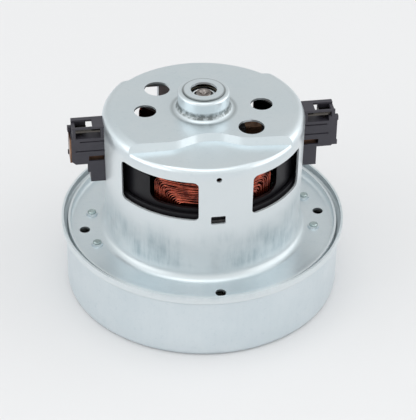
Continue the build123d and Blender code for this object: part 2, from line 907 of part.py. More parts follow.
def coil_turns(turn):
    """Outer layer of one field coil, wound in one unbroken wire on its core."""
    with BuildPart() as layer:
        with BuildLine() as wire:
            places = winding_points(turn)
            for index, (axis_angle, spread, top, bottom, step) in enumerate(places):
                left, right = axis_angle - spread, axis_angle + spread
                next_left = left - step
                start_height = places[index - 1][3] if index else bottom
                rise = winding_bend(left, top, 1, 1)
                fall = winding_bend(right, top, -1, 1)
                sink = winding_bend(right, bottom, -1, -1)
                back = winding_bend(next_left, bottom, 1, -1)
                Line(at(coil_outer_radius, left, start_height + wire_corner), rise[0])
                ThreePointArc(*rise)
                winding_run(left, rise[2], right, fall[2], top)
                ThreePointArc(*reversed(fall))
                Line(fall[0], sink[0])
                if index < wire_turns - 1:
                    ThreePointArc(*sink)
                    winding_run(right, sink[2], next_left, back[2], bottom)
                    ThreePointArc(*reversed(back))
        path = wire.wire()
        with BuildSketch(Plane(origin=path @ 0, z_dir=path % 0)):
            RegularPolygon(wire_radius, wire_sides, rotation=wire_roll)
        sweep(path=path)
    return layer, path


def least_gap(path, radius, samples):
    """Smallest clear distance between stretches of a wire, from points along it."""
    points = [path @ (index / samples) for index in range(samples + 1)]
    apart = int(samples * 8 * radius / path.length) + 1
    least = path.length
    for index, point in enumerate(points):
        for other in points[index + apart:]:
            least = min(least, (point - other).length)
    return least - 2 * radius


for side, turn in (("front", 0), ("rear", 180)):
    write(insulator_frame(turn), f"{side}_insulator")
    write(coil_core(turn), f"{side}_field_coil")
    turns_of_wire, wire_path = coil_turns(turn)
    write(turns_of_wire, f"{side}_field_coil_turns")
    if side == "front":
        print("least gap in a field coil", round(least_gap(wire_path, wire_radius, wire_samples), 2))


def side_outline(hand):
    """Side view of the brush holder moulding, as seen along Y."""
    wall_face = wall_radius(body_low) - sheet
    return [
        (hand * holder_sleeve_end, body_low),
        (hand * (wall_face - holder_wall_gap), body_low),
        (hand * (wall_face - holder_wall_gap), holder_low),
        (hand * holder_leg_end, holder_low),
        (hand * holder_leg_end, body_low),
        (hand * (holder_end - holder_corner), body_low),
        (hand * holder_end, body_low + holder_corner),
        (hand * holder_end, body_high),
        (hand * holder_top_end, body_high),
        (hand * holder_top_end, holder_top),
        (hand * (wall_face - holder_wall_gap), holder_top),
        (hand * (wall_face - holder_wall_gap), body_high),
        (hand * holder_sleeve_end, body_high),
    ]


def brush_holder(hand):
    """Moulded brush holder on the side that hand gives, with its connector channel."""
    wall_face = wall_radius(body_low) - sheet
    post_end = wall_face + sheet + post_width
    floor = body_high
    roof = holder_top - holder_plate
    channel_end = holder_top_end - post_width
    with BuildPart() as holder:
        with BuildSketch(Plane.XZ):
            with BuildLine():
                Polyline(*side_outline(hand), close=True)
            make_face()
        extrude(amount=holder_half, both=True)
        with BuildSketch(Plane.XZ.offset(-holder_half + channel_rear_wall)):
            with Locations((hand * (post_end + channel_end) / 2, (floor + roof) / 2)):
                Rectangle(channel_end - post_end, roof - floor)
        extrude(amount=2 * holder_half, mode=Mode.SUBTRACT)
        with BuildSketch(Plane.XZ.offset(-holder_half - cut_over)):
            with Locations((hand * (post_end + channel_open_end) / 2, (floor + roof) / 2)):
                Rectangle(channel_open_end - post_end, roof - floor)
        extrude(amount=2 * holder_half, mode=Mode.SUBTRACT)
        slot_front = -holder_half + latch_rail
        with BuildSketch(Plane.XY.offset(roof)):
            slot_end = holder_end + cut_over
            with Locations(
                (hand * (latch_slot_start + slot_end) / 2, (slot_front + latch_slot_rear) / 2)
            ):
                Rectangle(slot_end - latch_slot_start, latch_slot_rear - slot_front)
        extrude(amount=2 * holder_plate, mode=Mode.SUBTRACT)
        with BuildSketch(Plane.XY.offset(holder_top)):
            with Locations(
                (
                    hand * (holder_top_end - latch_hook / 2),
                    (latch_slot_rear + holder_half) / 2,
                )
            ):
                Rectangle(latch_hook, holder_half - latch_slot_rear)
        extrude(amount=-latch_hook_drop)
        with BuildSketch(facing(90 - hand * 90, brush_height)):
            Rectangle(
                2 * (tube_half_wide + seat_gap),
                2 * (tube_half_tall + seat_gap),
            )
        extrude(amount=holder_end + cut_over, mode=Mode.SUBTRACT)
        for face in (1, -1):
            with BuildSketch(Plane.XZ.offset(face * (holder_half - groove_depth))):
                for height, end in ((groove_upper, groove_upper_end), (groove_lower, groove_lower_end)):
                    with Locations((hand * (wall_face + end) / 2, height)):
                        Rectangle(end - wall_face, groove_height)
                if face == hand:
                    groove_middle = (groove_end_low + groove_end_high) / 2
                    with Locations((hand * groove_lower_end, groove_middle)):
                        Rectangle(groove_height, groove_end_high - groove_end_low)
            extrude(amount=face * 2 * groove_depth, mode=Mode.SUBTRACT)
            with BuildSketch(Plane.XZ.offset(face * (holder_half - side_notch_depth))):
                notch_middle = side_notch_low + side_notch_height / 2
                notch_end = holder_leg_end + groove_height
                with Locations((hand * (wall_face + sheet + notch_end) / 2, notch_middle)):
                    Rectangle(notch_end - wall_face - sheet, side_notch_height)
            extrude(amount=face * 2 * side_notch_depth, mode=Mode.SUBTRACT)
        lug_width = holder_half - tube_half_wide - 2 * seat_gap
        lug_start = holder_end - holder_corner - post_width
        lug_end = holder_end + end_lug_reach
        lip_end = holder_end + 2 * seat_gap + tube_cap
        for low, high, end, deep in (
            (body_low + end_lug_rise, body_low + end_lug_rise + end_lug_height, lug_end, lug_width),
            (body_high, body_high + end_lug_height, lug_end, end_lug_half),
            (body_low + holder_corner, body_high, lip_end, lug_width),
        ):
            with BuildSketch(Plane.XY.offset(low)):
                with Locations(
                    (hand * (lug_start + end) / 2, hand * (deep / 2 - holder_half))
                ):
                    Rectangle(end - lug_start, deep)
            extrude(amount=high - low)
        with BuildSketch(Plane.XY.offset(body_low)):
            rib_place = hand * (holder_half - lug_width)
            with Locations((hand * (holder_leg_end + leg_rib / 2), rib_place)):
                Rectangle(leg_rib, 2 * lug_width)
        extrude(amount=-leg_rib_drop)
        flange_low = stack_high + inner_flange_over
        flange_face = math.sqrt(wall_face**2 - inner_flange_half**2) - holder_wall_gap
        with BuildSketch(Plane.XY.offset(flange_low)):
            with Locations((hand * (flange_face - inner_flange_thickness / 2), 0)):
                Rectangle(inner_flange_thickness, 2 * inner_flange_half)
        extrude(amount=holder_top - 2 * inner_flange_over - flange_low)
        with BuildSketch(facing(90 - hand * 90, brush_height)):
            Rectangle(
                2 * (tube_half_wide + seat_gap),
                2 * (tube_half_tall + seat_gap),
            )
        extrude(amount=holder_end - holder_corner, mode=Mode.SUBTRACT)
        with BuildSketch(Plane.XY.offset(brush_height)):
            with Locations((hand * strap_place, 0)):
                Rectangle(tab_sheet + 2 * seat_gap, 2 * (strap_half + seat_gap))
        extrude(amount=holder_top - holder_plate - brush_height - seat_gap, mode=Mode.SUBTRACT)
    return holder


def brush_tube(hand):
    """Brass guide tube of a brush, closed at its outer end by a bent cap."""
    with BuildPart() as tube:
        with BuildSketch(facing(90 - hand * 90, brush_height).offset(tube_inner_end)):
            Rectangle(2 * tube_half_wide, 2 * tube_half_tall)
            Rectangle(
                2 * (tube_half_wide - tube_wall),
                2 * (tube_half_tall - tube_wall),
                mode=Mode.SUBTRACT,
            )
        extrude(amount=holder_end + seat_gap - tube_inner_end)
        with BuildSketch(facing(90 - hand * 90, brush_height).offset(holder_end + seat_gap)):
            Rectangle(2 * tube_half_wide, 2 * tube_half_tall)
        extrude(amount=tube_cap)
        slot_start = wall_radius(body_low)
        slot_end = holder_leg_end + groove_height
        with BuildSketch(Plane.XZ):
            slot_middle = side_notch_low + side_notch_height / 2
            with Locations((hand * (slot_start + slot_end) / 2, slot_middle)):
                Rectangle(slot_end - slot_start, side_notch_height)
        extrude(amount=tube_half_wide + seat_gap, both=True, mode=Mode.SUBTRACT)
    return tube


def carbon_brush(hand):
    """Carbon brush with its worn-in face on the commutator and a spring pocket."""
    with BuildPart() as brush:
        with BuildSketch(facing(90 - hand * 90, brush_height)):
            Rectangle(brush_wide, brush_tall)
        extrude(amount=brush_end)
        with BuildSketch(Plane.XY.offset(brush_low - cut_over)):
            Circle(brush_inner)
        extrude(amount=brush_tall + 2 * cut_over, mode=Mode.SUBTRACT)
        back = brush.faces().sort_by(Axis.X)[-1 if hand > 0 else 0]
        chamfer(back.edges(), brush_bevel)
        with BuildSketch(facing(90 - hand * 90, brush_height).offset(brush_end)):
            Circle(brush_pocket_radius)
        extrude(amount=-brush_pocket_depth, mode=Mode.SUBTRACT)
    return brush


def brush_spring(hand):
    """Coil spring between the brush and the cap of its tube."""
    start = brush_end - brush_pocket_depth + spring_wire + spring_end_gap
    end = holder_end + seat_gap - spring_wire - spring_end_gap
    pitch = (end - start) / spring_curls
    with BuildPart() as spring:
        with BuildLine() as coil:
            Helix(
                pitch,
                end - start,
                spring_radius,
                center=(hand * start, 0, brush_height),
                direction=(hand, 0, 0),
            )
        path = coil.wire()
        with BuildSketch(Plane(origin=path @ 0, z_dir=path % 0)):
            RegularPolygon(spring_wire, wire_sides, rotation=wire_roll)
        sweep(path=path)
    return spring, path


def brush_terminal(hand):
    """Flat tab in the connector channel with the strap down to the brass tube."""
    wall_face = wall_radius(body_low) - sheet
    start = wall_face + sheet + post_width + seat_gap
    end = holder_top_end - post_width - seat_gap
    with BuildPart() as terminal:
        with BuildSketch(Plane.XY.offset(tab_height)):
            with Locations((hand * (channel_open_end + end) / 2, -latch_rail / 2)):
                Rectangle(end - channel_open_end, 2 * tab_half - latch_rail)
            with Locations((hand * (start + end) / 2, -tab_half + tab_neck_half / 2)):
                Rectangle(end - start, tab_neck_half)
        extrude(amount=tab_sheet)
        strap_low = brush_height + tube_half_tall + seat_gap
        with BuildSketch(Plane.XY.offset(strap_low)):
            with Locations((hand * strap_place, 0)):
                Rectangle(tab_sheet, 2 * strap_half)
        extrude(amount=tab_height + tab_sheet - strap_low)
    return terminal


for side, hand in (("right", 1), ("left", -1)):
    write(brush_holder(hand), f"{side}_brush_holder")
    write(brush_tube(hand), f"{side}_brush_tube")
    write(carbon_brush(hand), f"{side}_carbon_brush")
    spring, spring_path = brush_spring(hand)
    write(spring, f"{side}_brush_spring")
    write(brush_terminal(hand), f"{side}_brush_terminal")
    if hand == 1:
        print("least gap in a brush spring", round(least_gap(spring_path, spring_wire, wire_samples), 2))


def vane(height, tall, inner, outer, sweep_angle, thickness, start_angle, lean=1):
    """Curved upright vane from an inner to an outer radius."""
    middle = at((inner + outer) / 2, start_angle + lean * sweep_angle * vane_lead_share)
    with BuildSketch(Plane.XY.offset(height)) as plan:
        with BuildLine():
            ThreePointArc(
                at(inner, start_angle)[:2],
                middle[:2],
                at(outer, start_angle + lean * sweep_angle)[:2],
            )
            offset(amount=thickness, side=Side.LEFT)
        make_face()
    return extrude(plan.sketch, amount=tall)


# Diffuser: vanes round the impeller and return vanes on top of one plate
with BuildPart() as diffuser:
    with BuildSketch(Plane.XY.offset(diffuser_low)):
        Circle(diffuser_radius)
        Circle(diffuser_bore, mode=Mode.SUBTRACT)
    extrude(amount=diffuser_plate)
    for index in range(diffuser_vanes):
        vane(
            sheet + vane_foot_gap,
            diffuser_low + diffuser_plate - sheet - vane_foot_gap,
            diffuser_vane_inner,
            diffuser_vane_outer,
            diffuser_vane_sweep,
            diffuser_vane,
            index * 360 / diffuser_vanes,
        )
    for index in range(return_vanes):
        vane(
            diffuser_low,
            bracket_low - seat_gap - diffuser_low,
            return_inner,
            return_outer,
            return_sweep,
            diffuser_vane,
            index * 360 / return_vanes,
            -1,
        )
write(diffuser, "diffuser")

# Impeller: back disc, dished front disc with its eye and the blades between them
with BuildPart() as impeller_back_disc:
    with BuildSketch(Plane.XY.offset(impeller_back)):
        Circle(impeller_radius)
        Circle(bearing_bore_radius + seat_gap, mode=Mode.SUBTRACT)
    extrude(amount=impeller_sheet)
write(impeller_back_disc, "impeller_back_disc")

with BuildPart() as impeller_front_disc:
    with BuildSketch(Plane.XZ):
        with BuildLine():
            FilletPolyline(
                (impeller_eye, impeller_eye_low),
                (impeller_eye, impeller_eye_high),
                (impeller_radius, impeller_rim_height),
                radius=impeller_bend,
            )
            offset(amount=impeller_sheet, side=Side.RIGHT)
        make_face()
    revolve(axis=Axis.Z)
write(impeller_front_disc, "impeller_front_disc")

with BuildPart() as impeller_blades:
    for index in range(blade_count):
        vane(
            impeller_eye_low,
            impeller_back - impeller_eye_low,
            blade_inner,
            blade_outer,
            blade_sweep,
            blade_sheet,
            index * 360 / blade_count,
            -1,
        )
    with BuildSketch(Plane.XZ):
        with BuildLine():
            Polyline(
                (impeller_eye - impeller_bend, 0),
                (impeller_radius + cut_over, 0),
                (impeller_radius + cut_over, impeller_rim_height + seat_gap),
                (impeller_radius, impeller_rim_height + seat_gap),
                (impeller_eye, impeller_eye_high + seat_gap),
                (impeller_eye - impeller_bend, impeller_eye_high + seat_gap),
                close=True,
            )
        make_face()
    revolve(axis=Axis.Z, mode=Mode.SUBTRACT)
write(impeller_blades, "impeller_blades")

with BuildPart() as impeller_collar:
    with BuildSketch(Plane.XY.offset(impeller_back + impeller_sheet)):
        Circle(collar_radius)
        Circle(bearing_bore_radius + seat_gap, mode=Mode.SUBTRACT)
    extrude(amount=lower_bearing_low - impeller_back - impeller_sheet)
    chamfer(impeller_collar.edges().group_by(Axis.Z)[-1].sort_by(SortBy.LENGTH)[-1], bearing_inner_wall / 2)
write(impeller_collar, "impeller_collar")

with BuildPart() as impeller_washer:
    with BuildSketch(Plane.XY.offset(impeller_back - washer_height)):
        Circle(washer_radius)
        Circle(bearing_bore_radius + seat_gap, mode=Mode.SUBTRACT)
    extrude(amount=washer_height)
    chamfer(impeller_washer.edges().group_by(Axis.Z)[0].sort_by(SortBy.LENGTH)[-1], washer_height / 2)
write(impeller_washer, "impeller_washer")

with BuildPart() as impeller_nut:
    with BuildSketch(Plane.XY.offset(impeller_back - washer_height - nut_height)):
        RegularPolygon(nut_across / 2, 6, major_radius=False)
        Circle(bearing_bore_radius + seat_gap / 5, mode=Mode.SUBTRACT)
    extrude(amount=nut_height)
    with BuildSketch(Plane.XZ):
        with BuildLine():
            low = impeller_back - washer_height - nut_height
            Polyline(
                (nut_across / 2 - shaft_chamfer, low - shaft_chamfer),
                (nut_across, low - shaft_chamfer),
                (nut_across, low + nut_across / 2 * math.tan(math.radians(30))),
                (nut_across / 2 - shaft_chamfer, low),
                close=True,
            )
        make_face()
    revolve(axis=Axis.Z, mode=Mode.SUBTRACT)
write(impeller_nut, "impeller_nut")
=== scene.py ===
"""Dresses the vacuum motor unit: its finishes, wound wire, springs, threads, studio and camera."""

import logging
import math
import random
from dataclasses import dataclass, field
from enum import Enum

import bpy
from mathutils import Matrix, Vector


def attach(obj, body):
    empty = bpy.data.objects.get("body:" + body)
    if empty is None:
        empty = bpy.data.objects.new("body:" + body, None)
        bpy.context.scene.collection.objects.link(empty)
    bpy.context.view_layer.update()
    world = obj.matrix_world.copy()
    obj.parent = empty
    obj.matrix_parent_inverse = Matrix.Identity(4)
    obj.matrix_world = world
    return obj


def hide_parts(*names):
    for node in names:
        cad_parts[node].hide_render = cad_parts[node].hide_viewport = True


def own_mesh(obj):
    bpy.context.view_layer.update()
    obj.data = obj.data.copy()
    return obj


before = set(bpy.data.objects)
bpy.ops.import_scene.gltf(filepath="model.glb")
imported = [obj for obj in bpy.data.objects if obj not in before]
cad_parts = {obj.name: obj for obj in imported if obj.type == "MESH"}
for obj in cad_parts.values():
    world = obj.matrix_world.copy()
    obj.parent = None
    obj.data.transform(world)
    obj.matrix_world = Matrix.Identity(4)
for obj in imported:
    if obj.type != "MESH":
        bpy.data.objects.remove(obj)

LOG = logging.getLogger("motor")
MM = 0.001
FLANGE_TOP = 30.0 * MM
FRAME_TOP = 94.4 * MM
Colour = tuple[float, float, float]
Place = tuple[float, float, float]
Band = tuple[float, float]
Line = list[Vector]
Value = bpy.types.NodeSocket | float | tuple[float, ...]


class Side(Enum):
    """The two brush sides, by the sign of X."""

    LEFT = -1
    RIGHT = 1


class End(Enum):
    """The two field coils, by the sign of Y."""

    FRONT = -1
    REAR = 1


class Lay(Enum):
    """The direction in which a finish's marks run."""

    EVEN = "even"
    DRAWN = "drawn"
    TURNED = "turned"
    STACKED = "stacked"


# Node graphs


@dataclass
class Graph:
    """Adds nodes to one tree and joins them."""

    tree: bpy.types.NodeTree

    def add(self, kind: str, settings: dict[str, object] | None = None, **values: Value) -> bpy.types.Node:
        """Adds a node.

        Args:
            kind: the node's type name.
            settings: properties of the node itself.
            values: what its sockets hold or are fed by, named by the socket in lower case with underscores.

        Returns:
            The new node.
        """
        node = self.tree.nodes.new(kind)
        for name, value in (settings or {}).items():
            setattr(node, name, value)
        for name, value in values.items():
            self.feed(self.socket(node, name), value)
        return node

    def socket(self, node: bpy.types.Node, name: str) -> bpy.types.NodeSocket:
        """Finds an input by its name, or by its number where the name is in_ and a number."""
        if name.startswith("in_"):
            return node.inputs[int(name[3:])]
        wanted = name.replace("_", " ").lower()
        for candidate in node.inputs:
            if candidate.name.lower() == wanted and candidate.enabled:
                return candidate
        raise KeyError(f"{node.bl_idname} has no input {name}")

    def feed(self, target: bpy.types.NodeSocket, value: Value) -> None:
        """Links a socket to the target, or writes a plain value on it."""
        if isinstance(value, bpy.types.NodeSocket):
            self.tree.links.new(value, target)
        else:
            target.default_value = value

    def maths(self, operation: str, first: Value, second: Value = 0.0) -> bpy.types.NodeSocket:
        """Adds a Math node and returns its output."""
        node = self.add("ShaderNodeMath", {"operation": operation}, in_0=first, in_1=second)
        return node.outputs[0]

    def product(self, first: Value, *others: Value) -> bpy.types.NodeSocket:
        """Multiplies the values and returns the result."""
        result = first
        for other in others:
            result = self.maths("MULTIPLY", result, other)
        return result

    def reach(self, x: Value, y: Value) -> bpy.types.NodeSocket:
        """Finds the distance from the shaft's axis."""
        return self.maths("SQRT", self.maths("ADD", self.product(x, x), self.product(y, y)))

    def span(self, value: Value, band: Band, low: Value = 0.0, high: Value = 1.0) -> bpy.types.NodeSocket:
        """Maps a value from a band to the range from low to high, and holds it in that range.

        Args:
            value: what is mapped.
            band: the two ends of the band.
            low: what the band's first end gives.
            high: what its second end gives.

        Returns:
            The mapped value.
        """
        start, end = band
        node = self.add("ShaderNodeMapRange", None, in_0=value, in_1=start, in_2=end, in_3=low, in_4=high)
        return node.outputs[0]

    def blend(self, share: Value, first: Value, second: Value) -> bpy.types.NodeSocket:
        """Adds a colour Mix node and returns its colour output."""
        node = self.add("ShaderNodeMix", {"data_type": "RGBA"})
        self.feed(node.inputs[0], share)
        self.feed(node.inputs[6], first)
        self.feed(node.inputs[7], second)
        return node.outputs[2]

    def mix(self, share: Value, first: Value, second: Value) -> bpy.types.NodeSocket:
        """Adds a Mix node for plain numbers and returns its output."""
        node = self.add("ShaderNodeMix", {"data_type": "FLOAT"})
        self.feed(node.inputs[0], share)
        self.feed(node.inputs[2], first)
        self.feed(node.inputs[3], second)
        return node.outputs[0]


@dataclass(frozen=True)
class Grain:
    """One kind of noise: its octaves, how much the finer ones count, and the band of it that shows."""

    detail: float
    roughness: float
    band: Band

    def draw(self, graph: Graph, place: Value, scale: Value) -> bpy.types.NodeSocket:
        """Adds the noise and returns its value."""
        settings = {"detail": self.detail, "roughness": self.roughness}
        return graph.add("ShaderNodeTexNoise", None, vector=place, scale=scale, **settings).outputs[0]

    def shown(self, graph: Graph, noise: Value, low: Value = 0.0, high: Value = 1.0) -> bpy.types.NodeSocket:
        """Stretches the band that shows to the range from low to high."""
        return graph.span(noise, self.band, low, high)


DRIFT = Grain(4.0, 0.55, (0.38, 0.66))
MARKS = Grain(3.0, 0.6, (0.4, 0.68))
SPOTS = Grain(2.0, 0.5, (0.6, 0.72))
STREAKS = Grain(5.0, 0.7, (0.38, 0.64))
CLOUDS = Grain(3.0, 0.6, (0.4, 0.62))
PATCHES = Grain(3.0, 0.6, (0.4, 0.56))


@dataclass(frozen=True)
class Zone:
    """A soft-edged range of heights, or of distances from the shaft's axis."""

    rise: Band
    fall: Band

    def mask(self, graph: Graph, value: Value) -> bpy.types.NodeSocket:
        """Masks the zone: 1 inside it, 0 outside."""
        return graph.product(graph.span(value, self.rise), graph.span(value, self.fall, 1.0, 0.0))


def shader_group(
    name: str, inputs: dict[str, str], outputs: dict[str, str]
) -> tuple[Graph, bpy.types.Node, bpy.types.Node]:
    """Starts a shader node group.

    Args:
        name: the group's name.
        inputs: socket names with their kinds, Float, Color or Vector.
        outputs: the same for what it puts out.

    Returns:
        Its graph, its input node and its output node.
    """
    tree = bpy.data.node_groups.new(name, "ShaderNodeTree")
    for label, kind in inputs.items():
        tree.interface.new_socket(label, in_out="INPUT", socket_type=f"NodeSocket{kind}")
    for label, kind in outputs.items():
        tree.interface.new_socket(label, in_out="OUTPUT", socket_type=f"NodeSocket{kind}")
    graph = Graph(tree)
    return graph, graph.add("NodeGroupInput"), graph.add("NodeGroupOutput")


@dataclass(frozen=True)
class LayGroup:
    """Builds the group that turns a place on the part into the coordinate that a finish's marks follow."""

    lay: Lay
    drawn_radius: float = 45.0 * MM
    drawn_stretch: float = 0.12
    turned_radius: float = 1.5 * MM
    stacked_spread: float = 0.05
    least_reach: float = 0.5 * MM

    def build(self) -> bpy.types.NodeTree:
        """Builds the group.

        Returns:
            Its tree, with the input Place and the output Marks.
        """
        graph, entry, leave = shader_group(f"lay_{self.lay.value}", {"Place": "Vector"}, {"Marks": "Vector"})
        place = entry.outputs["Place"]
        if self.lay is Lay.EVEN:
            graph.feed(leave.inputs["Marks"], place)
            return graph.tree
        x, y, z = graph.add("ShaderNodeSeparateXYZ", None, vector=place).outputs
        if self.lay is Lay.STACKED:
            across = [graph.product(part, self.stacked_spread) for part in (x, y)]
            along = z
        else:
            reach = graph.reach(x, y)
            safe = graph.maths("MAXIMUM", reach, self.least_reach)
            drawn = self.lay is Lay.DRAWN
            radius = self.drawn_radius if drawn else self.turned_radius
            across = [graph.product(graph.maths("DIVIDE", part, safe), radius) for part in (x, y)]
            along = graph.product(z, self.drawn_stretch) if drawn else graph.maths("ADD", reach, z)
        joined = graph.add("ShaderNodeCombineXYZ", None, x=across[0], y=across[1], z=along)
        graph.feed(leave.inputs["Marks"], joined.outputs[0])
        return graph.tree


def build_surface_group(mark_height: float = 0.7, spot_height: float = 0.3) -> bpy.types.NodeTree:
    """Builds the group that all finishes share: colour drift, marks, spots, a worn roughness and a height.

    Args:
        mark_height: how much the marks count in the height.
        spot_height: how much the spots count in it.

    Returns:
        The group's tree.
    """
    colours = dict.fromkeys(("Base", "Second"), "Color")
    numbers = ("Drift Scale", "Drift", "Mark Scale", "Mark", "Spot Scale", "Spot", "Smooth", "Rough")
    graph, entry, leave = shader_group(
        "surface",
        {"Place": "Vector", "Marks": "Vector"} | colours | dict.fromkeys(numbers, "Float"),
        {"Colour": "Color", "Roughness": "Float", "Height": "Float"},
    )
    given = entry.outputs
    drift = DRIFT.draw(graph, given["Place"], given["Drift Scale"])
    mark = MARKS.draw(graph, given["Marks"], given["Mark Scale"])
    spot = SPOTS.draw(graph, given["Place"], given["Spot Scale"])
    drifted = graph.product(DRIFT.shown(graph, drift), given["Drift"])
    marked = graph.product(MARKS.shown(graph, mark), given["Mark"])
    spotted = graph.product(SPOTS.shown(graph, spot), given["Spot"])
    wear = graph.maths("ADD", graph.maths("ADD", drifted, marked), spotted)
    worn = graph.maths("MINIMUM", wear, 1.0)
    height = graph.maths("ADD", graph.product(mark, mark_height), graph.product(spot, spot_height))
    graph.feed(leave.inputs["Colour"], graph.blend(worn, given["Base"], given["Second"]))
    graph.feed(leave.inputs["Roughness"], graph.mix(worn, given["Smooth"], given["Rough"]))
    graph.feed(leave.inputs["Height"], height)
    return graph.tree


LAYS = {lay: LayGroup(lay).build() for lay in Lay}
SURFACE = build_surface_group()
FINISHED: dict[str, bpy.types.Material] = {}


# Finishes


@dataclass(frozen=True)
class Finish:
    """One finish of the part: its colours, its marks and its gloss."""

    slot: str
    base: Colour
    second: Colour
    metallic: float = 0.0
    smooth: float = 0.35
    rough: float = 0.5
    lay: Lay = Lay.EVEN
    drift_scale: float = 60.0
    drift: float = 0.5
    mark_scale: float = 900.0
    mark: float = 0.3
    spot_scale: float = 400.0
    spot: float = 0.2
    bump_depth: float = 0.02 * MM
    bump_strength: float = 0.3
    coat: float = 0.0
    coat_roughness: float = 0.2
    specular: float = 0.5

    def material(self) -> bpy.types.Material:
        """Wires the material of the finish's slot, or gives the one already wired."""
        if self.slot in FINISHED:
            return FINISHED[self.slot]
        material = bpy.data.materials.get(self.slot) or bpy.data.materials.new(self.slot)
        material.use_nodes = True
        FINISHED[self.slot] = material
        shader = material.node_tree.nodes["Principled BSDF"]
        self.wire(Graph(material.node_tree), shader)
        shader.inputs["Metallic"].default_value = self.metallic
        shader.inputs["Coat Weight"].default_value = self.coat
        shader.inputs["Coat Roughness"].default_value = self.coat_roughness
        shader.inputs["Specular IOR Level"].default_value = self.specular
        return material

    def wire(self, graph: Graph, shader: bpy.types.Node) -> bpy.types.Node:
        """Joins the shared group to the shader.

        Args:
            graph: the material's graph.
            shader: its Principled node.

        Returns:
            The group's node.
        """
        place = graph.add("ShaderNodeTexCoord").outputs["Object"]
        marks = graph.add("ShaderNodeGroup", {"node_tree": LAYS[self.lay]}, place=place)
        surface = graph.add(
            "ShaderNodeGroup",
            {"node_tree": SURFACE},
            place=place,
            marks=marks.outputs["Marks"],
            base=(*self.base, 1.0),
            second=(*self.second, 1.0),
            drift_scale=self.drift_scale,
            drift=self.drift,
            mark_scale=self.mark_scale,
            mark=self.mark,
            spot_scale=self.spot_scale,
            spot=self.spot,
            smooth=self.smooth,
            rough=self.rough,
        )
        bump = graph.add(
            "ShaderNodeBump",
            None,
            strength=self.bump_strength,
            distance=self.bump_depth,
            height=surface.outputs["Height"],
        )
        graph.feed(shader.inputs["Base Color"], surface.outputs["Colour"])
        graph.feed(shader.inputs["Roughness"], surface.outputs["Roughness"])
        graph.feed(shader.inputs["Normal"], bump.outputs[0])
        return surface


